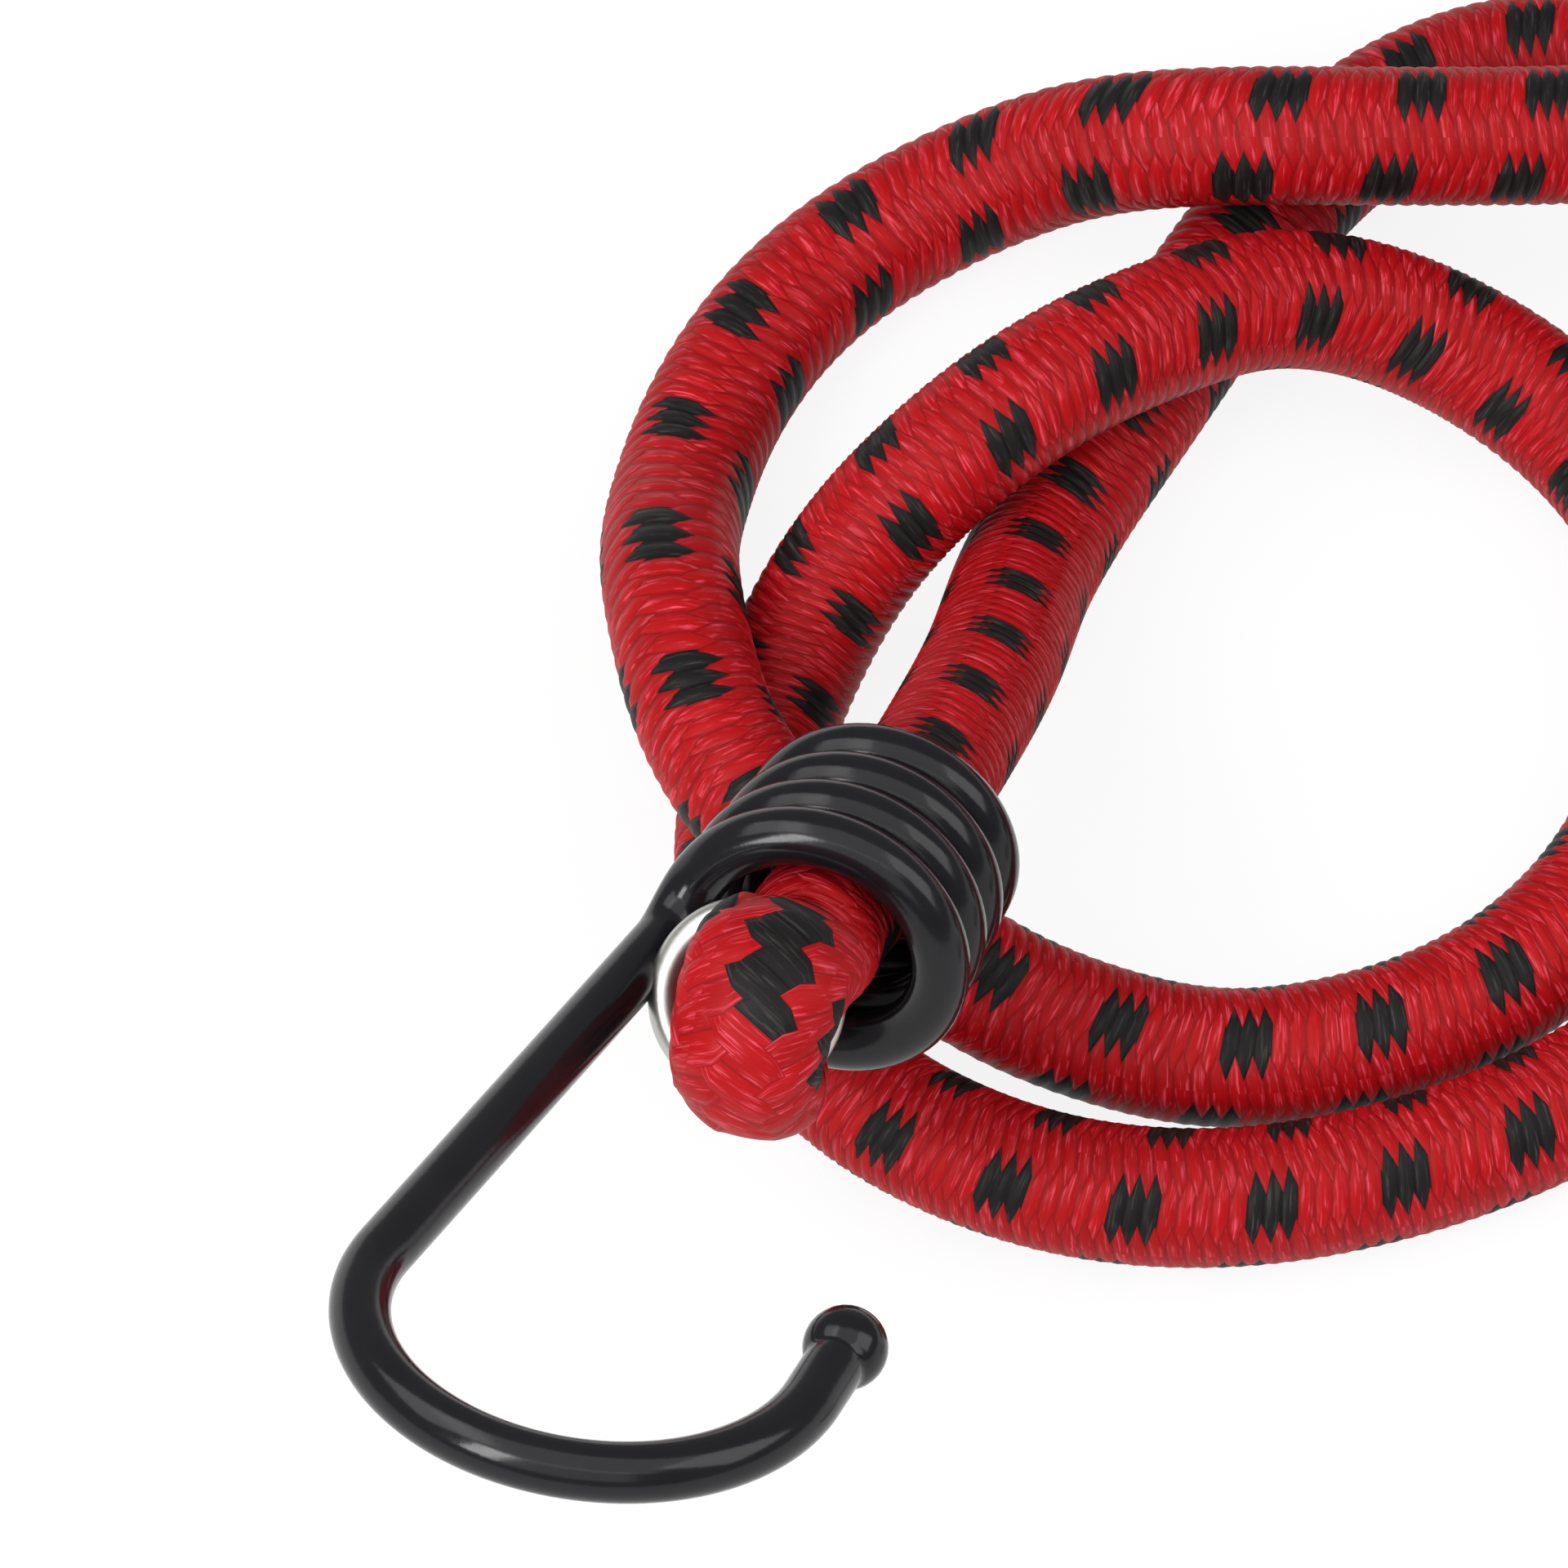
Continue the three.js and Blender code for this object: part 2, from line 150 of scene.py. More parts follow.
# %% Grid to mesh
def surface(name, grid, coords=None):
    """A closed tube: point (row, column) joins (row + 1, column) and (row, column + 1), the columns close
    on themselves, and one many-sided face closes each end."""
    rows, sides = grid.shape[:2]
    r, c = np.meshgrid(np.arange(rows - 1), np.arange(sides), indexing="ij")
    n = (c + 1) % sides
    quads = np.stack([r * sides + c, (r + 1) * sides + c, (r + 1) * sides + n, r * sides + n], axis=-1)
    quads = quads.reshape(-1, 4)
    caps = np.stack([np.arange(sides), np.arange(rows * sides - 1, (rows - 1) * sides - 1, -1)])
    corners = np.r_[quads.ravel(), caps.ravel()].astype(np.int32)
    starts = np.r_[np.arange(len(quads)) * 4, len(quads) * 4 + np.arange(2) * sides].astype(np.int32)
    mesh = bpy.data.meshes.new(name)
    mesh.vertices.add(rows * sides)
    mesh.vertices.foreach_set("co", (grid.reshape(-1) * MM).astype(np.float32))
    mesh.loops.add(len(corners))
    mesh.loops.foreach_set("vertex_index", corners)
    mesh.polygons.add(len(starts))
    mesh.polygons.foreach_set("loop_start", starts)
    mesh.polygons.foreach_set("use_smooth", np.ones(len(starts), dtype=bool))
    if coords is not None:
        layer = mesh.uv_layers.new(name="braid")
        k = c + 1
        faces = np.stack([coords[r, c], coords[r + 1, c], coords[r + 1, k], coords[r, k]], axis=-2)
        ends = np.concatenate([coords[0, :sides], coords[-1, sides - 1 :: -1][:sides]])
        flat = np.concatenate([faces.reshape(-1, 2), ends]).astype(np.float32)
        layer.data.foreach_set("uv", flat.ravel())
    mesh.update(calc_edges=True)
    mesh.validate()
    piece = bpy.data.objects.new(name, mesh)
    scene.collection.objects.link(piece)
    print(name, rows, "x", sides, "points")
    return piece


def tube(line, radius, sides, across_start):
    """A round tube: the section's first axis is carried along the line without twist by taking out, at
    each step, its part along the line."""
    along = unit(np.gradient(line, axis=0))
    across = np.empty_like(line)
    kept = np.asarray(across_start, float)
    for i, direction in enumerate(along):
        kept = kept - direction * kept.dot(direction)
        kept /= np.linalg.norm(kept)
        across[i] = kept
    over = np.cross(across, along)
    turn = np.linspace(0, 2 * np.pi, sides, endpoint=False)
    ring = across[:, None] * np.cos(turn)[:, None] + over[:, None] * np.sin(turn)[:, None]
    return line[:, None] + ring * np.asarray(radius)[:, None, None]


# %% [markdown]
# ## Shader maths as Python
# A braid is drawn by arithmetic on its map. To keep that readable, one class wraps a socket and turns
# Python operators into Math nodes. Any other node comes from one method, which takes the node's type, its
# settings and what goes into its sockets.


# %% Finishes
class Value:
    """One output socket of a finish. Each operator adds the Math node of that name."""

    def __init__(self, finish, socket):
        self.finish = finish
        self.socket = socket

    def math(self, operation, *others):
        inputs = dict(enumerate((self, *others)))
        return self.finish.node("ShaderNodeMath", {"operation": operation}, inputs)

    def flipped(self, operation, other):
        """The same with the two inputs changed over, for a plain number on the left."""
        return self.finish.node("ShaderNodeMath", {"operation": operation}, {0: other, 1: self})

    def __add__(self, other):
        return self.math("ADD", other)

    __radd__ = __add__

    def __mul__(self, other):
        return self.math("MULTIPLY", other)

    __rmul__ = __mul__

    def __sub__(self, other):
        return self.math("SUBTRACT", other)

    def __rsub__(self, other):
        return self.flipped("SUBTRACT", other)

    def __truediv__(self, other):
        return self.math("DIVIDE", other)

    def __mod__(self, other):
        return self.math("FLOORED_MODULO", other)

    def __lt__(self, other):
        return self.math("LESS_THAN", other)

    def __gt__(self, other):
        return self.math("GREATER_THAN", other)

    def __abs__(self):
        return self.math("ABSOLUTE")

    def __floor__(self):
        return self.math("FLOOR")

    def between(self, low, high):
        """0 up to low, 1 from high on, and a smooth step in between."""
        settings = {"interpolation_type": "SMOOTHSTEP"}
        inputs = {"Value": self, "From Min": low, "From Max": high}
        return self.finish.node("ShaderNodeMapRange", settings, inputs)


class Finish:
    """A material: a Principled shader and the nodes that feed it."""

    def __init__(self, name, **constants):
        self.material = bpy.data.materials.new(name)
        self.material.use_nodes = True
        self.tree = self.material.node_tree
        self.tree.nodes.clear()
        output = self.tree.nodes.new("ShaderNodeOutputMaterial")
        self.shader = self.tree.nodes.new("ShaderNodeBsdfPrincipled")
        self.tree.links.new(self.shader.outputs[0], output.inputs[0])
        for socket, constant in constants.items():
            self.feed(self.shader, socket.replace("_", " "), constant)

    def feed(self, node, key, value):
        """Links a value to a socket, or sets the socket to a plain number or colour."""
        socket = node.inputs[key]
        if isinstance(value, Value):
            self.tree.links.new(value.socket, socket)
        else:
            socket.default_value = value

    def node(self, kind, settings=None, inputs=None, output=0):
        """Adds a node: its settings first, then its sockets. Gives one of its outputs."""
        node = self.tree.nodes.new(kind)
        for key, setting in (settings or {}).items():
            setattr(node, key, setting)
        for key, value in (inputs or {}).items():
            self.feed(node, key, value)
        return Value(self, node.outputs[output])

    def vector(self, x, y, z=0.0):
        """One vector from three values."""
        return self.node("ShaderNodeCombineXYZ", None, {0: x, 1: y, 2: z})

    def parts(self, vector):
        """The three values of a vector."""
        split = self.node("ShaderNodeSeparateXYZ", None, {0: vector}).socket.node
        return [Value(self, socket) for socket in split.outputs]

    def mix(self, first, second, factor):
        """first where factor is 0, second where it is 1: sockets 6 and 7 are the colours, 0 the factor."""
        inputs = {0: factor, 6: first, 7: second}
        return self.node("ShaderNodeMix", {"data_type": "RGBA"}, inputs, 2)

    def noise(self, vector, scale, detail=2.0, roughness=0.5):
        inputs = {"Vector": vector, "Scale": scale, "Detail": detail, "Roughness": roughness}
        return self.node("ShaderNodeTexNoise", None, inputs)

    def place(self):
        """The point's own place on the piece, in metres."""
        return self.node("ShaderNodeTexCoord", None, None, "Object")

    def bump(self, height, distance, strength=1.0):
        """Tilts the surface as if it stood out by height times distance metres."""
        inputs = {"Height": height, "Distance": distance, "Strength": strength}
        self.set("Normal", self.node("ShaderNodeBump", None, inputs))

    def set(self, socket, value):
        self.feed(self.shader, socket, value)

    def wear(self, piece):
        """Makes this the piece's only material."""
        piece.data.materials.clear()
        piece.data.materials.append(self.material)


# %% [markdown]
# ## Where the cord runs
# The cord leaves the back of the first hook's coil, passes under two of its own stretches, and goes round
# the loops to the second hook. These are the route's points of the solid model. The line through them is
# smoothed a little, because a stiff elastic cord changes its bend slowly.

# %% Hook places and route
CORD_RADIUS = 4.0
COIL_LENGTH = 14.4
FOLD_TILT = 32.0
FOLD_PIVOT = 1.0
FOLD_DROP = 1.9
UP = np.array([0.0, 0.0, 1.0])


class Axes:
    """A point and three directions: forward, level (to the right) and rise (up from it)."""

    def __init__(self, origin, forward, level):
        self.origin = origin
        self.forward = forward
        self.level = level
        self.rise = np.cross(forward, level)

    def at(self, before, height):
        """Points a distance before the origin and a height above it."""
        return self.origin + np.multiply.outer(before, self.forward) + np.multiply.outer(height, self.rise)


class HookPlace(Axes):
    """The coil's axes at its front centre, and the folded end's, which are turned up from them."""

    def __init__(self, front, axis, roll_degrees):
        forward = unit(np.array(axis))
        super().__init__(np.array(front) + SHIFT, forward, unit(np.cross(UP, forward)))
        roll = math.radians(roll_degrees)
        self.tip = self.level * math.cos(roll) + self.rise * math.sin(roll)
        self.normal = np.cross(self.forward, self.tip)
        tilt = math.radians(FOLD_TILT)
        up_forward = self.forward * math.cos(tilt) + self.rise * math.sin(tilt)
        self.fold = Axes(self.at(FOLD_PIVOT, 0.0), up_forward, self.level)
        self.fold.origin = self.fold.at(0.0, -FOLD_DROP)

    def from_hook(self, points):
        """Points in the hook's own axes (towards the tip, out of its plane, along the coil)."""
        return self.origin + points @ np.stack([self.tip, self.normal, self.forward])


HOOKS = {
    "a": HookPlace((1.4, -29.0, 25.6), (-0.352, -0.867, 0.354), 1.4),
    "b": HookPlace((81.0, -2.5, 9.6), (0.0, -0.99, -0.14), 0.0),
}
ROUTE = np.array([
    [11.8, -0.3, 12.2], [13.1, 6.6, 8], [13.8, 10.4, 5.7], [15.1, 14.2, 4.3], [16.8, 18, 3.6],
    [20.3, 24.3, 3.2], [22.8, 28.8, 3.2], [25.6, 33.5, 3.2], [29.6, 39.6, 3.2], [35, 45, 3.2],
    [42, 48.2, 3.2], [50, 47.8, 3.2], [57, 44, 3.2], [62, 38, 3.2], [65, 30, 3.2], [66, 21, 3.2],
    [65.5, 11, 3.2], [63.5, 1, 3.2], [59.5, -8.5, 3.2], [53.5, -17, 3.2], [45.5, -24, 3.2],
    [36, -28.6, 3.2], [26, -30.8, 3.2], [17, -30.2, 3.2], [9.8, -27.5, 3.2], [3.8, -23.3, 3.2],
    [-0.2, -17.5, 3.2], [-2.2, -11, 3.2], [-2.3, -5, 3.2], [-1.6, -0.5, 3.5], [-0.3, 3.3, 4.2],
    [1.9, 7.6, 6.3], [4.6, 10.8, 9], [8, 13.4, 11.6], [12.5, 16.9, 13.2], [16.5, 19.9, 13.2],
    [20, 22.4, 12.6], [23.3, 24.5, 11.6], [26, 26.3, 10.8], [30, 27.6, 9.4], [35, 27.8, 7.2], [41, 26, 4.6],
    [46.2, 22, 3.3], [49.8, 16.5, 3.2], [51.5, 9.5, 3.2], [51.3, 2, 3.2], [49.3, -5.5, 3.2],
    [45.2, -12.2, 3.2], [39.5, -17.2, 3.2], [32.5, -20.2, 3.2], [25, -21.3, 3.2], [17.5, -19.9, 4.1],
    [12, -18.4, 6], [7.5, -16.4, 8.4], [4, -14.4, 10.4], [1, -12.2, 11.7], [-1.4, -10, 12.2],
    [-3.6, -6.4, 12.3], [-5.2, -1.6, 11.8], [-6, 3, 11], [-6.6, 8.3, 9.1], [-6.6, 12.4, 6.8],
    [-5.9, 17.5, 4.2], [-4.5, 22.8, 3.3], [-1.6, 28.6, 3.2], [2.4, 33.5, 3.2], [7, 37, 3.4],
    [11.6, 39, 4.5], [15.9, 39.4, 6.7], [19.6, 38.7, 9], [23, 37.8, 10.8], [27, 37.2, 11.9], [32, 37, 12.1],
    [39.5, 37.6, 11.2], [47, 38.3, 10.4], [54.5, 38.6, 11.2], [62, 37.4, 12], [69, 34, 12.3],
    [75, 28.5, 12.3], [79.2, 22.5, 12.3],
])
LINE_STEP = 0.5
ROUTE_SMOOTHING = 5
back = -COIL_LENGTH - CORD_RADIUS
route = np.vstack([
    HOOKS["a"].at(-COIL_LENGTH, 0.0),
    HOOKS["a"].at(back, 0.0),
    ROUTE + SHIFT,
    HOOKS["b"].at(back, 0.0),
    HOOKS["b"].at(-COIL_LENGTH, 0.0),
])
free_line = smoothed(even(through(route), LINE_STEP), ROUTE_SMOOTHING)
FREE_LENGTH = lengths(free_line)[-1]
print("free cord", round(FREE_LENGTH, 1), "mm")

# %% [markdown]
# ## The folded ends
# In front of each coil the cord is folded back on itself and a ring is pressed round both layers, which
# makes the lump that keeps the hook on. The rows below give, from the cut tail to the coil, the distance
# along the ring's axis, the height above it, the offset to the right, and the half width and half thickness
# of the squeezed cord. The turn between the two layers is half a circle.

# %% Fold
RING_PLACE = 5.0
RING_SHIFT = -1.4
RING_DROP = 0.5
WAIST = 1.15
TAIL_ROWS = [
    [1.9, -3.75, -0.9, 0.2, 0.1],
    [2.1, -3.65, -0.9, 2.8, 1.5],
    [2.5, -3.45, -0.9, 3.3, 1.8],
    [RING_PLACE - WAIST, -2.3, -0.9, 3.0, 1.8],
    [RING_PLACE + WAIST, -2.3, -0.9, 3.0, 1.8],
    [7.7, -3.2, 0.2, 4.3, 2.3],
]
STANDING_ROWS = [
    [7.7, 2.9, 0.0, 4.6, 2.9],
    [RING_PLACE + WAIST, 1.5, -0.9, 3.0, 1.8],
    [RING_PLACE - WAIST, 1.5, -0.9, 3.0, 1.8],
    [2.2, 2.0, 0.2, 3.6, 2.5],
    [0.6, 2.9, 0.3, 4.0, 3.5],
]
TURN_STEPS = 8
TURN_PLACE, TURN_REACH = 8.4, 3.4
TURN_MIDDLE, TURN_RISE = -0.9, 3.7
TURN_OFFSET, TURN_SLANT = 0.8, 0.2
TURN_WIDTH, TURN_WIDENING = 4.7, 0.3
TURN_THICKNESS = 3.2
turn = np.pi * (np.arange(TURN_STEPS + 1) / TURN_STEPS - 0.5)
turn_rows = np.stack([
    TURN_PLACE + TURN_REACH * np.cos(turn),
    TURN_MIDDLE + TURN_RISE * np.sin(turn),
    TURN_OFFSET - TURN_SLANT * np.sin(turn),
    TURN_WIDTH + TURN_WIDENING * np.sin(turn),
    np.full_like(turn, TURN_THICKNESS),
], axis=1)
fold_rows = np.vstack([TAIL_ROWS, turn_rows, STANDING_ROWS])
coil_rows = np.array([
    # distance before the coil's front, height above its axis, half width, half thickness
    [0.0, 1.3, CORD_RADIUS, CORD_RADIUS],
    [-3.6, 0.9, CORD_RADIUS, CORD_RADIUS],
    [-7.2, 0.5, CORD_RADIUS, CORD_RADIUS],
    [-10.8, 0.2, CORD_RADIUS, CORD_RADIUS],
    [-COIL_LENGTH, 0.0, CORD_RADIUS, CORD_RADIUS],
])


def fold(place):
    """Line and half sizes of one folded end, from the tail to the back of the coil."""
    beside = np.multiply.outer(fold_rows[:, 2], place.level)
    folded = np.c_[place.fold.at(fold_rows[:, 0], fold_rows[:, 1]) + beside, fold_rows[:, 3:]]
    coiled = np.c_[place.at(coil_rows[:, 0], coil_rows[:, 1]), coil_rows[:, 2:]]
    return even(through(np.vstack([folded, coiled])), LINE_STEP)


print("one folded end", len(fold_rows), "rows, in the coil", len(coil_rows), "rows")

# %% [markdown]
# ## One line from tail to tail
# The braid runs on through folds and coils, so the three parts are joined to one table of rows: point,
# half width, half thickness and the section's sideways axis. Distances count from the back of the first
# coil, so they are negative in the first fold.

# %% Whole cord
fold_a = fold(HOOKS["a"])
fold_b = fold(HOOKS["b"])[::-1]
round_size = np.full((len(free_line), 2), CORD_RADIUS)
whole = np.vstack([fold_a[:-1], np.c_[free_line, round_size], fold_b[1:]])
START = -lengths(fold_a)[-1]
END = FREE_LENGTH + lengths(fold_b)[-1]
station = lengths(whole) + START
along = unit(np.gradient(whole[:, :3], axis=0))
sideways = np.cross(along, UP)
sideways[station < -COIL_LENGTH] = HOOKS["a"].level
sideways[station > FREE_LENGTH + COIL_LENGTH] = -HOOKS["b"].level
sideways = unit(sideways - along * np.sum(sideways * along, axis=1, keepdims=True))
print("cut length", round(END - START, 1), "mm")

# %% [markdown]
# ## The braid
# Sixteen carriers braid the sheath: eight lean one way and eight the other, each passing over two and
# under two. What shows is eight columns of short slanted floats, leaning left and right in turn, whose
# pointed ends interlock. Three neighbouring carriers of one lean are black, so every second column shows a
# fleck of three black floats in each eight, a quarter turn and two floats on from the last.
#
# The map holds the column number round the cord and the float number along it. The float number runs
# faster where the sheath is bunched and slower where the fold has opened it. An image of a braid would
# stretch there; a map that is counted in floats does not.

# %% Float numbers
FLOATS = np.array([
    # distance, float number, turn of the pattern in columns
    [-45.0, 0.9, 0.5],
    [-37.0, 5.8, 0.7],
    [-31.5, 9.0, 0.7],
    [-27.8, 11.0, 0.7],
    [-24.1, 13.0, 0.7],
    [-20.9, 15.0, 0.5],
    [-14.4, 22.0, 0.7],
    [0.0, 38.0, 0.8],
    [10.5, 51.0, 0.8],
    [23.0, 67.0, 0.8],
    [37.4, 83.0, 0.8],
    [200.0, 259.0, -0.57],
    [213.9, 275.0, -0.57],
    [252.7, 321.0, -0.4],
    [280.5, 353.0, -0.3],
    [373.4, 451.0, 0.08],
    [381.9, 459.0, 0.08],
    [405.0, 483.0, 0.3],
    [416.4, 491.0, 0.25],
    [428.9, 498.0, 0.2],
    [474.6, 537.0, 0.3],
    [546.6, 614.0, 0.3],
    [561.0, 630.0, 0.4],
    [567.5, 637.4, 0.5],
    [570.0, 639.0, 0.5],
    [577.2, 643.0, 0.5],
    [583.1, 646.4, 0.5],
    [591.6, 651.1, 0.5],
])
FLOAT_SMOOTHING = 3
number = columns_at(station, FLOATS[:, 0], FLOATS[:, 1:])
number = smoothed(number, FLOAT_SMOOTHING)
print("floats from", round(number[0, 0], 1), "to", round(number[-1, 0], 1))

# %% [markdown]
# ## The braided skin
# Each float is a bundle of threads that stands a tenth of a millimetre out of the cord, so it is real
# geometry: the radius of every point grows with the height of the float that it lies on. The free cord
# has short floats that lean a little; on the folded ends the weave is opened and they lean a full float.
# The ends meet the free cord inside the coils, where nothing shows.

# %% Braided skin
COLUMNS = 8
TIP = 0.24
FREE_LEAN = 0.45
OPEN_LEAN = 1.0
FIRST_FREE = 30
LAST_FREE = 621
FREE_POINTS = (4, 5)
END_POINTS = (12, 10)
RELIEF = 0.1
MIDDLE_HEIGHT = 0.6
CUT_LENGTH = 3.0
FLOOR_CLEARANCE = 0.02


def slant(u, lean):
    """How far the rows of floats are pushed along the cord: a zigzag that rises through one column and
    falls through the next."""
    return lean * (0.5 - np.abs(u % 2 - 1))


def float_height(u, v, lean):
    """How far a point of the braid stands out, from 0 to 1. from_right and from_left are the distances, in
    columns, from the middles of the two kinds of column, which meet in a zigzag of depth TIP. The height
    is a sine of the distance from the float's edge."""
    from_right = (u + 0.5) % 2 - 1
    from_left = (u + 1.5) % 2 - 1
    turn_over = v - 0.5 * lean * np.sign(from_right)
    zigzag = 1 - 4 * np.abs(turn_over - np.round(turn_over))
    reach = 0.5 + TIP * zigzag - np.abs(from_right)
    lane_right = v - lean * from_right
    lane_left = v + lean * from_left - 0.5
    lane = np.where(reach > 0, lane_right, lane_left)
    side = 1 - 2 * np.abs(lane - np.round(lane))
    edge = np.minimum(side, np.minimum(np.abs(reach) / TIP, 1))
    return np.sin(0.5 * np.pi * edge)


def braided(name, first, last, points, lean):
    """The skin between two float numbers: elliptic sections whose radius grows with the float height. The
    last CUT_LENGTH before a cut end run out without the zigzag, so the cut is straight."""
    per_float, per_column = points
    inner = np.arange(math.ceil(first * per_float), math.floor(last * per_float) + 1) / per_float
    v = np.unique(np.r_[first, inner, last])
    table = np.c_[whole, sideways, number[:, 1:], along]
    rows = columns_at(v, number[:, 0], table)
    point, size, side, twist, direction = np.split(rows, [3, 5, 8, 9], axis=1)
    side = unit(side)
    over = np.cross(side, unit(direction))
    sides = COLUMNS * per_column
    column = np.arange(sides + 1) / per_column
    u = column[None, :] + np.zeros_like(v)[:, None]
    angle = 2 * np.pi * (u[:, :-1] - twist) / COLUMNS
    push = slant(u[:, :-1], lean)
    height = float_height(u[:, :-1], v[:, None] + push, lean)
    place = columns_at(v, number[:, 0], station[:, None])[:, 0]
    straight = np.clip(np.minimum(place - START, END - place) / CUT_LENGTH, 0, 1)
    pitch = (np.gradient(place, v) * straight)[:, None]
    out = RELIEF * (height - MIDDLE_HEIGHT)
    x = (size[:, :1] + out) * np.cos(angle)
    y = (size[:, 1:] + out) * np.sin(angle)
    grid = point[:, None] + side[:, None] * x[..., None] + over[:, None] * y[..., None]
    bend = unit(direction)[:, None] * (push * pitch)[..., None]
    grid = grid + bend
    grid[..., 2] = np.maximum(grid[..., 2], FLOOR_CLEARANCE)
    coords = np.stack([u, v[:, None] + slant(u, lean)], axis=-1)
    return surface(name, grid, coords)


cord = braided("cord_free", FIRST_FREE, LAST_FREE, FREE_POINTS, FREE_LEAN)
end_a = braided("cord_end_a", number[0, 0], FIRST_FREE, END_POINTS, OPEN_LEAN)
end_b = braided("cord_end_b", LAST_FREE, number[-1, 0], END_POINTS, OPEN_LEAN)

# %% [markdown]
# ## The sheath's finish
# The threads are smooth polyester of a deep red. Painted shade darkens the gaps between the floats, and
# painted highlights lay thin pale glints along the filaments. The nodes repeat the arithmetic of the skin
# on the same map, so colour and relief fall together. Each float has its own number, which picks its colour
# and moves its noise on; the floats of one lean get a painted sheen that makes them a little lighter.

# %% Sheath finish
RED = (0.33, 0.003, 0.005, 1)
# painted shade: the red of the gaps between floats, where shade falls
RED_PAINTED_GAP_SHADE = (0.22, 0.003, 0.004, 1)
# painted highlight: the pale red glints along the filaments
RED_PAINTED_GLINT = (0.62, 0.060, 0.090, 1)
BLACK = (0.009, 0.008, 0.008, 1)
# painted shade: the black of the gaps between floats, where shade falls
BLACK_PAINTED_GAP_SHADE = (0.004, 0.004, 0.004, 1)
# painted highlight: the pale glints along the black filaments
BLACK_PAINTED_GLINT = (0.042, 0.037, 0.036, 1)
CARRIERS = 8
BLACK_CARRIERS = 3
LEAN_OFFSET = 0.37
THREAD_STRETCH = 0.9
THREAD_STEPS = (5.7, 3.1)
# The next five numbers shape the painted highlights: thin glints in pale patches along the filaments.
GLINT_THREAD_RANGE = (0.36, 0.64)
GLINT_STRETCH = 2.0
GLINT_SHARE = 0.5
GLINT_STEPS = (2.3, 1.7)
GLINT_RANGE = (0.48, 0.72)
# Tone varies at random from float to float; the last number is a painted sheen that lightens the floats of
# one lean.
TONE, TONE_SPREAD, LEAN_PAINTED_SHEEN = 0.90, 0.14, 0.08
THREAD_ROUGHNESS, ROUGHNESS_SPREAD = 0.38, 0.2
EDGE_ROUNDING = 0.8
EDGE_BUMP, THREAD_BUMP = 0.5, 0.3
BRAID_BUMP = 0.00009


def sheath_finish(name, lean, filaments, painted_shade_width):
    """The floats as in float_height. right is 1 on the lean that holds the black carriers; lane is the
    place across one float and thread the filaments that run along it."""
    f = Finish(name, Specular_IOR_Level=0.12)
    u, v, _ = f.parts(f.node("ShaderNodeUVMap", {"uv_map": "braid"}))
    from_right = (u + 0.5) % 2 - 1
    from_left = (u + 1.5) % 2 - 1
    turn_over = v + lean * (0.5 - (from_right > 0.0))
    zigzag = 1 - 4 * abs(turn_over - math.floor(turn_over + 0.5))
    reach = 0.5 + TIP * zigzag - abs(from_right)
    right = reach > 0.0
    lane_right = v - lean * from_right
    lane_left = v + lean * from_left - 0.5
    own = math.floor(lane_right + 0.5)
    other = math.floor(lane_left + 0.5)
    lane = right * (lane_right - own - lane_left + other) + lane_left - other
    length = right * (from_right - from_left) + from_left
    which = right * (own + LEAN_OFFSET - other) + other
    column = 2 * math.floor((u + 0.5) / 2)
    carrier = (own - column) % CARRIERS
    black = right * (carrier < BLACK_CARRIERS - 0.5)
    edge = (1 - 2 * abs(lane)).math("MINIMUM", abs(reach) / TIP).math("MINIMUM", 1.0)
    moved = which * THREAD_STEPS[0] + column * THREAD_STEPS[1]
    grain = f.vector(length * THREAD_STRETCH, lane * filaments, moved)
    thread = f.noise(grain, scale=1.0, detail=2.0, roughness=0.6)
    moved = which * GLINT_STEPS[0] + column * GLINT_STEPS[1]
    patch = f.vector(length * GLINT_STRETCH, lane * (GLINT_SHARE * filaments), moved)
    glint_noise = f.noise(patch, scale=1.0, detail=2.0)
    one_float = {"Vector": f.vector(which, column)}
    tone = f.node("ShaderNodeTexWhiteNoise", {"noise_dimensions": "2D"}, one_float)
    # Painted shade: the colour darkens from each float's middle towards its edges, into the gaps between
    # floats.
    body = edge.between(0.0, painted_shade_width)
    # Painted highlight: pale glints where the patch noise and the thread noise are both high, away from the
    # gaps.
    painted_glint = body * glint_noise.between(*GLINT_RANGE) * thread.between(*GLINT_THREAD_RANGE)
    red = f.mix(f.mix(RED_PAINTED_GAP_SHADE, RED, body), RED_PAINTED_GLINT, painted_glint)
    dark = f.mix(f.mix(BLACK_PAINTED_GAP_SHADE, BLACK, body), BLACK_PAINTED_GLINT, painted_glint)
    # Painted sheen: the floats of one lean are painted a little lighter, as if their filaments caught the
    # light.
    value = TONE + TONE_SPREAD * tone + LEAN_PAINTED_SHEEN * right
    shade = {"Value": value, "Color": f.mix(red, dark, black)}
    f.set("Base Color", f.node("ShaderNodeHueSaturation", None, shade))
    f.set("Roughness", THREAD_ROUGHNESS + ROUGHNESS_SPREAD * thread)
    f.bump(edge.between(0.0, EDGE_ROUNDING) * EDGE_BUMP + thread * THREAD_BUMP, BRAID_BUMP)
    return f


# The last argument is how far the painted shade reaches in from each float's edge.
SHEATH = sheath_finish("braided_sheath", FREE_LEAN, filaments=9.0, painted_shade_width=0.4)
OPENED = sheath_finish("opened_braid", OPEN_LEAN, filaments=22.0, painted_shade_width=0.12)
print("sheath finish", len(SHEATH.tree.nodes), "nodes")
for piece, finish in ((cord, SHEATH), (end_a, OPENED), (end_b, OPENED)):
    finish.wear(piece)
    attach(piece, "cord")
    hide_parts("cord_sheath")

# %% [markdown]

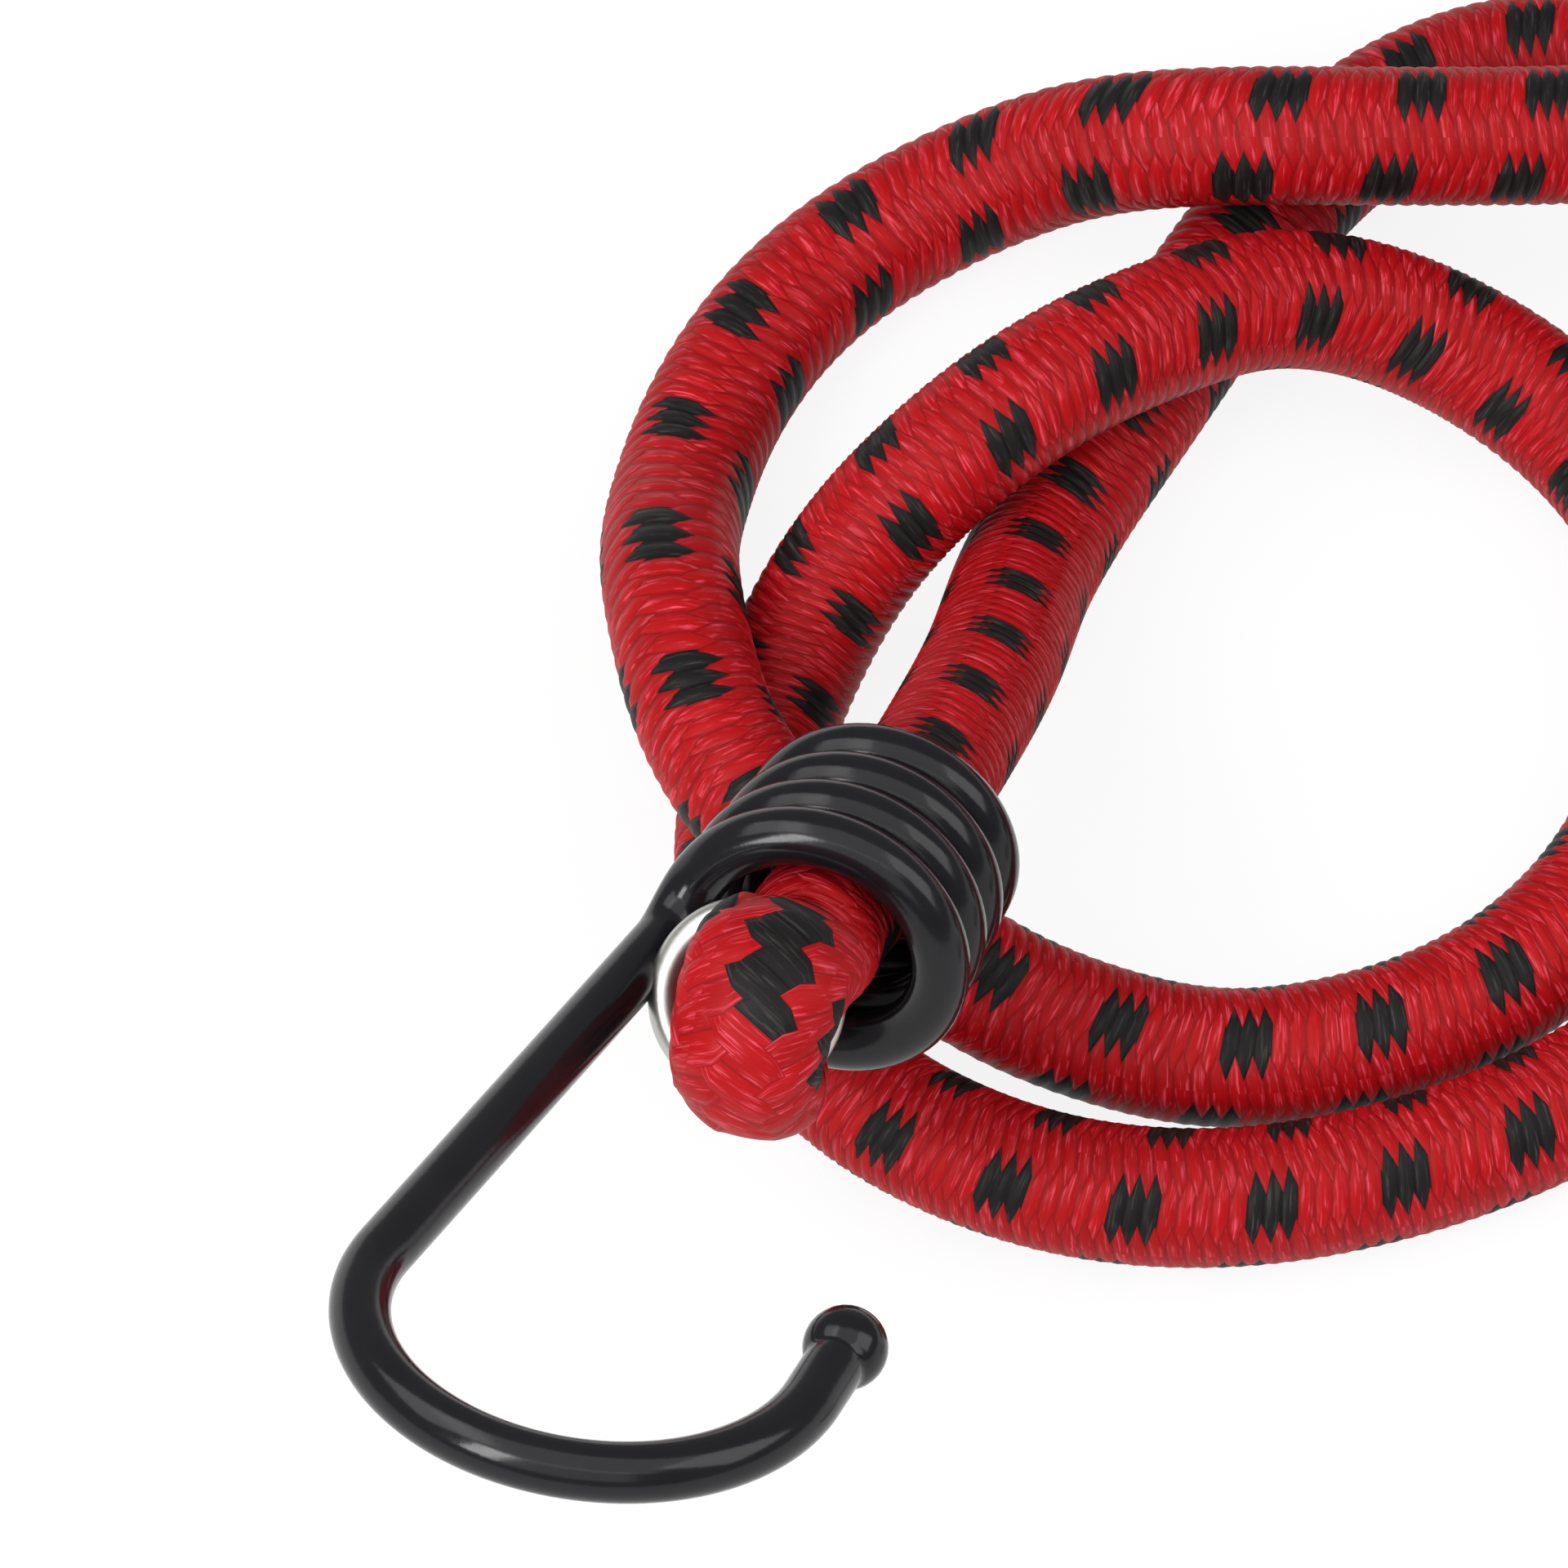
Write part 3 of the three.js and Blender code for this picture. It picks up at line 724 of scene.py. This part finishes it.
# %% [markdown]
# ## The hooks
# Each hook is one wire: four close turns that widen towards the front, a neck, a straight shank, a bend and
# a short tip that ends in a ball of vinyl. The line is worked out in the hook's own axes, piece by piece,
# because a real hook is bent from arcs and straights, which a curve through points would only come near.

# %% Hook line
COIL_TURNS = 4
COIL_PITCH = 3.6
COIL_FRONT = 7.6
COIL_REAR = 6.2
COAT_RADIUS = 1.7
NECK_RADIUS = 3.4
SHANK_LENGTH = 38.6
BEND_RADIUS = 13.3
BEND_SWEEP = math.radians(186)
TIP_LENGTH = 3.4
COIL_POINTS = 300
NECK_POINTS = 24
NECK_REACH = 1.25
SHANK_POINTS = 60
BEND_POINTS = 72
TIP_POINTS = 6
CONE = math.atan2(COIL_FRONT - COIL_REAR, COIL_TURNS * COIL_PITCH)


def coil_point(turns):
    """Helix on a cone: the angle falls by a full turn and the place by a pitch for each turn back."""
    angle = np.pi - 2 * np.pi * turns
    z = -COIL_PITCH * turns
    radius = COIL_FRONT + z * math.tan(CONE)
    return np.stack([radius * np.cos(angle), radius * np.sin(angle), z], axis=-1)


def hook_line():
    """The wire's line and the direction of its tip: the coil's helix, a cubic that takes over its slope and
    that of the shank, the shank as a straight line of the coil's cone, an arc, and a straight tip."""
    sin, cos = math.sin(CONE), math.cos(CONE)
    neck_turn = math.asin(NECK_RADIUS / COIL_FRONT) / (2 * np.pi)
    coil = coil_point(np.linspace(COIL_TURNS, neck_turn, COIL_POINTS))
    s = np.linspace(NECK_RADIUS, SHANK_LENGTH, SHANK_POINTS)
    shank = np.stack([-COIL_FRONT - s * sin, 0 * s, s * cos], axis=-1)
    t = np.linspace(0, 1, NECK_POINTS)[1:-1, None]
    reach = NECK_REACH * np.linalg.norm(shank[0] - coil[-1])
    coil_slope = unit(coil[-1] - coil[-2]) * reach
    shank_slope = unit(shank[1] - shank[0]) * reach
    neck = cubic(t, coil[-1], coil_slope, shank[0], shank_slope)
    centre = shank[-1] + BEND_RADIUS * np.array([cos, 0, sin])
    angle = np.pi + CONE - BEND_SWEEP * np.linspace(0, 1, BEND_POINTS)[1:]
    bend = centre + BEND_RADIUS * np.stack([np.cos(angle), 0 * angle, np.sin(angle)], axis=-1)
    out = np.array([math.sin(angle[-1]), 0, -math.cos(angle[-1])])
    tip = bend[-1] + np.linspace(0, TIP_LENGTH, TIP_POINTS)[1:, None] * out
    return np.vstack([coil, neck, shank, bend, tip]), out


hook_points, tip_direction = hook_line()
print("wire of one hook", round(lengths(hook_points)[-1], 1), "mm")

# %% [markdown]
# ## The vinyl coat
# The wire is dipped in vinyl, which leaves an even black skin that is a little thicker towards the bend,
# where it ran together. It is a round tube along the wire's line, with a radius for each point.

# %% Coat
COAT_SWELL = 0.045
COAT_SIDES = 28
END_SHARE = 0.03


def rounded_ends(line, radius, steps=8):
    """Adds a half-round end to both ends of a line: as its place goes out with the sine of an angle, the
    radius falls with the cosine, down to END_SHARE, which keeps the last ring open for its cap."""
    fall = np.linspace(0, np.pi / 2, steps + 1)[1:]
    first = unit(line[0] - line[1])
    last = unit(line[-1] - line[-2])
    before = line[0] + np.multiply.outer(np.sin(fall)[::-1] * radius, first)
    after = line[-1] + np.multiply.outer(np.sin(fall) * radius, last)
    taper = np.maximum(np.cos(fall), END_SHARE) * radius
    return np.vstack([before, line, after]), np.r_[taper[::-1], np.full(len(line), radius), taper]


coat_line, coat_radius = rounded_ends(hook_points, COAT_RADIUS)
run = lengths(coat_line)
shank_start = run[-1] - TIP_LENGTH - BEND_RADIUS * BEND_SWEEP - SHANK_LENGTH
coat_radius = coat_radius * (1 + COAT_SWELL * np.clip((run - shank_start) / SHANK_LENGTH, 0, 1))
pieces = {}
for key, place in HOOKS.items():
    grid = tube(place.from_hook(coat_line), coat_radius, COAT_SIDES, place.forward)
    pieces["coat_" + key] = surface("hook_coat_smooth_" + key, grid)

# %% [markdown]
# ## The ball on the tip
# A drop of vinyl rounds off the end of the wire. It is one profile turned about the tip's direction: a
# collar that lies just inside the coat, a small hollow fillet, and the ball. A sphere stuck on the wire
# would lack the soft crease between the two.

# %% Tip ball
KNOB_RADIUS = 2.45
KNOB_CENTRE = 2.06
KNOB_ROWS = 56
KNOB_SIDES = 32
COLLAR_START = -1.0
COLLAR_SINK = 0.04
COLLAR_RADIUS = COAT_RADIUS * (1 + COAT_SWELL) - COLLAR_SINK
FILLET = 0.8
KNOB_END_RADIUS = 0.03
knob_end = KNOB_CENTRE + KNOB_RADIUS
half_length = (knob_end - COLLAR_START) / 2
knob_x = knob_end - half_length * (1 + np.cos(np.linspace(0, np.pi, KNOB_ROWS)))
ball = np.sqrt(np.maximum(KNOB_RADIUS**2 - (knob_x - KNOB_CENTRE) ** 2, 0))
behind = math.sqrt((KNOB_RADIUS + FILLET) ** 2 - (COLLAR_RADIUS + FILLET) ** 2)
fillet_start = KNOB_CENTRE - behind
fillet_end = KNOB_CENTRE - behind * KNOB_RADIUS / (KNOB_RADIUS + FILLET)
drop = np.sqrt(np.maximum(FILLET**2 - (knob_x - fillet_start) ** 2, 0))
hollow = np.where(knob_x < fillet_start, COLLAR_RADIUS, COLLAR_RADIUS + FILLET - drop)
knob_r = np.maximum(np.where(knob_x < fillet_end, hollow, ball), KNOB_END_RADIUS)
for key, place in HOOKS.items():
    points = hook_points[-1] + np.multiply.outer(knob_x, tip_direction)
    grid = tube(place.from_hook(points), knob_r, KNOB_SIDES, place.normal)
    pieces["knob_" + key] = surface("tip_ball_" + key, grid)

# %% [markdown]
# ## The ring
# A short piece of bright wire is pressed into a ring round the folded end. Its two ends nearly meet
# underneath. It is a tube along an open circle, with rounded ends.

# %% Ring
RING_RADIUS = 4.85
RING_WIRE = 0.95
RING_OPENING = math.radians(9)
RING_POINTS = 120
RING_SIDES = 24
RING_END_STEPS = 4
ring_share = np.linspace(0, 1, RING_POINTS)
ring_angle = -np.pi / 2 + RING_OPENING / 2 + (2 * np.pi - RING_OPENING) * ring_share
for key, place in HOOKS.items():
    axes = place.fold
    circle = np.cos(ring_angle)[:, None] * axes.level + np.sin(ring_angle)[:, None] * axes.rise
    centre = axes.at(RING_PLACE, -RING_DROP) + RING_SHIFT * axes.level
    line, radius = rounded_ends(centre + RING_RADIUS * circle, RING_WIRE, RING_END_STEPS)
    grid = tube(line, radius, RING_SIDES, axes.forward)
    pieces["ring_" + key] = surface("ring_smooth_" + key, grid)

# %% [markdown]
# ## Vinyl, nickel, rubber and steel
# The dipped vinyl is near black with a clear gloss and a slightly wavy skin. The ring is nickel, bright
# with a fine grain. The rubber strands and the bare wire lie hidden in the sheath and the coat, and get
# their own finishes for whoever takes the part apart. All of them follow the place on the piece.

# %% Other finishes
VINYL_DARK = (0.006, 0.0056, 0.007, 1)
VINYL_PALE = (0.010, 0.0093, 0.0115, 1)
NICKEL_DARK = (0.50, 0.485, 0.46, 1)
NICKEL_PALE = (0.64, 0.63, 0.60, 1)
RUBBER_DARK = (0.58, 0.46, 0.27, 1)
RUBBER_PALE = (0.72, 0.60, 0.38, 1)
STEEL_DARK = (0.36, 0.37, 0.39, 1)
STEEL_PALE = (0.48, 0.49, 0.51, 1)


def vinyl_finish():
    """Broad waves move the colour and the skin; fine grain breaks up the gloss."""
    f = Finish("dipped_vinyl", Specular_IOR_Level=0.3)
    place = f.place()
    broad = f.noise(place, scale=260.0, detail=2.0)
    fine = f.noise(place, scale=2600.0, detail=3.0, roughness=0.6)
    f.set("Base Color", f.mix(VINYL_DARK, VINYL_PALE, broad))
    f.set("Roughness", 0.1 + 0.08 * fine + 0.05 * broad)
    f.bump(broad * 0.8 + fine * 0.2, distance=0.00005, strength=0.6)
    return f


def nickel_finish():
    """Broad patches move the colour; fine grain scatters the gloss."""
    f = Finish("bright_nickel", Metallic=1.0)
    place = f.place()
    broad = f.noise(place, scale=300.0, detail=3.0)
    fine = f.noise(place, scale=3200.0, detail=3.0, roughness=0.7)
    f.set("Base Color", f.mix(NICKEL_DARK, NICKEL_PALE, broad))
    f.set("Roughness", 0.3 + 0.16 * fine)
    f.bump(fine, distance=0.00002, strength=0.4)
    return f


def rubber_finish():
    """One broad noise moves colour, gloss and skin of the cut strands."""
    f = Finish("latex_strand", Specular_IOR_Level=0.4)
    place = f.place()
    broad = f.noise(place, scale=400.0, detail=3.0)
    f.set("Base Color", f.mix(RUBBER_DARK, RUBBER_PALE, broad))
    f.set("Roughness", 0.55 + 0.25 * broad)
    f.bump(broad, distance=0.0001, strength=0.5)
    return f


def steel_finish():
    """One fine noise moves colour, gloss and skin of the drawn wire."""
    f = Finish("drawn_wire", Metallic=1.0)
    place = f.place()
    fine = f.noise(place, scale=1800.0, detail=3.0, roughness=0.7)
    f.set("Base Color", f.mix(STEEL_DARK, STEEL_PALE, fine))
    f.set("Roughness", 0.28 + 0.2 * fine)
    f.bump(fine, distance=0.00003, strength=0.5)
    return f


# %% [markdown]
# ## Dressing the hooks
# Each new piece rides on the body that it belongs to and stands for its solid. The strands and the wires
# have the right shape already, so they stay and only get their finish.

# %% Dress
VINYL = vinyl_finish()
NICKEL = nickel_finish()
RUBBER = rubber_finish()
STEEL = steel_finish()
for key in HOOKS:
    for part, node, slot, finish, body in (
        ("coat_", "hook_coat_", "vinyl", VINYL, "hook_"),
        ("knob_", "tip_knob_", "vinyl", VINYL, "hook_"),
        ("ring_", "ring_clip_", "nickel", NICKEL, None),
    ):
        piece = pieces[part + key]
        finish.wear(piece)
        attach(piece, body + key if body else "cord")
        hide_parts(node + key)

for name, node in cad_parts.items():
    if name.startswith("rubber_strand"):
        RUBBER.wear(node)
    if name.startswith("hook_wire"):
        STEEL.wear(node)
print("dressed", sorted(pieces))

# %% [markdown]
# ## The floor
# The cord lies on white paper. Camera rays and glossy rays see it as almost plain white, so the background
# is white and the vinyl and the ring reflect it. The small rest is the paper's own shading, which keeps
# the shadow.

# %% Floor
FLOOR_HALF_M = 3.0
FLOOR_DROP_M = 0.0003
WHITE_SHARE = 0.88
corners = np.array([[-1, -1], [1, -1], [1, 1], [-1, 1]]) * FLOOR_HALF_M
floor_points = np.c_[corners, np.full(len(corners), -FLOOR_DROP_M)]
floor_mesh = bpy.data.meshes.new("floor")
floor_mesh.from_pydata(floor_points.tolist(), [], [(0, 1, 2, 3)])
floor_piece = bpy.data.objects.new("floor", floor_mesh)
scene.collection.objects.link(floor_piece)
paper = Finish("white_paper", Base_Color=(0.9, 0.9, 0.9, 1), Roughness=0.9)
rays = paper.node("ShaderNodeLightPath").socket.node
seen = Value(paper, rays.outputs["Is Camera Ray"]) + Value(paper, rays.outputs["Is Glossy Ray"])
glow = paper.node("ShaderNodeEmission", None, {"Color": (1, 1, 1, 1), "Strength": 1.0})
shaded = Value(paper, paper.shader.outputs[0])
blend = paper.node("ShaderNodeMixShader", None, {0: WHITE_SHARE * seen, 1: shaded, 2: glow})
sheet_out = next(n for n in paper.tree.nodes if n.type == "OUTPUT_MATERIAL")
paper.tree.links.new(blend.socket, sheet_out.inputs[0])
paper.wear(floor_piece)
print("floor", 2 * FLOOR_HALF_M, "m wide")

# %% [markdown]
# ## The light
# Five soft rectangular lamps, as round a table in a photographer's tent: a narrow bright one at the front
# left draws the long glints on the vinyl, a broad one overhead lights the cord, and three weak ones and the
# pale surroundings open the shadows.

# %% Light
WORLD_STRENGTH = 0.28
AIM = (-0.03, -0.01, 0.01)
LAMPS = [
    # name, place, width and height in metres, watts
    ("key_front_left", (-0.48, -0.45, 0.47), (0.2, 0.45), 3.6),
    ("over", (-0.05, -0.15, 0.85), (1.2, 0.9), 3.7),
    ("front", (-0.1, -0.6, 0.5), (0.7, 0.5), 1.0),
    ("back_left", (-0.5, 0.1, 0.65), (0.6, 0.5), 2.1),
    ("fill_right", (0.55, -0.1, 0.5), (0.5, 0.5), 2.0),
]
world = bpy.data.worlds.new("studio")
scene.world = world
world.use_nodes = True
surroundings = world.node_tree.nodes["Background"]
surroundings.inputs["Color"].default_value = (1, 1, 1, 1)
surroundings.inputs["Strength"].default_value = WORLD_STRENGTH


def softbox(name, place, size, power):
    """A rectangular lamp that looks at AIM: its third axis is the line from there, its first is level."""
    lamp = bpy.data.lights.new(name, "AREA")
    lamp.shape = "RECTANGLE"
    lamp.size, lamp.size_y = size
    lamp.energy = power
    piece = bpy.data.objects.new(name, lamp)
    scene.collection.objects.link(piece)
    eye = np.array(place)
    away = unit(eye - np.array(AIM))
    right = unit(np.cross(UP, away))
    axes = np.stack([right, np.cross(away, right), away], axis=1)
    piece.matrix_world = Matrix([[*axes[i], eye[i]] for i in range(3)] + [[0, 0, 0, 1]])


for lamp_row in LAMPS:
    softbox(*lamp_row)
scene.view_settings.view_transform = "Standard"
print("lamps", len(LAMPS))
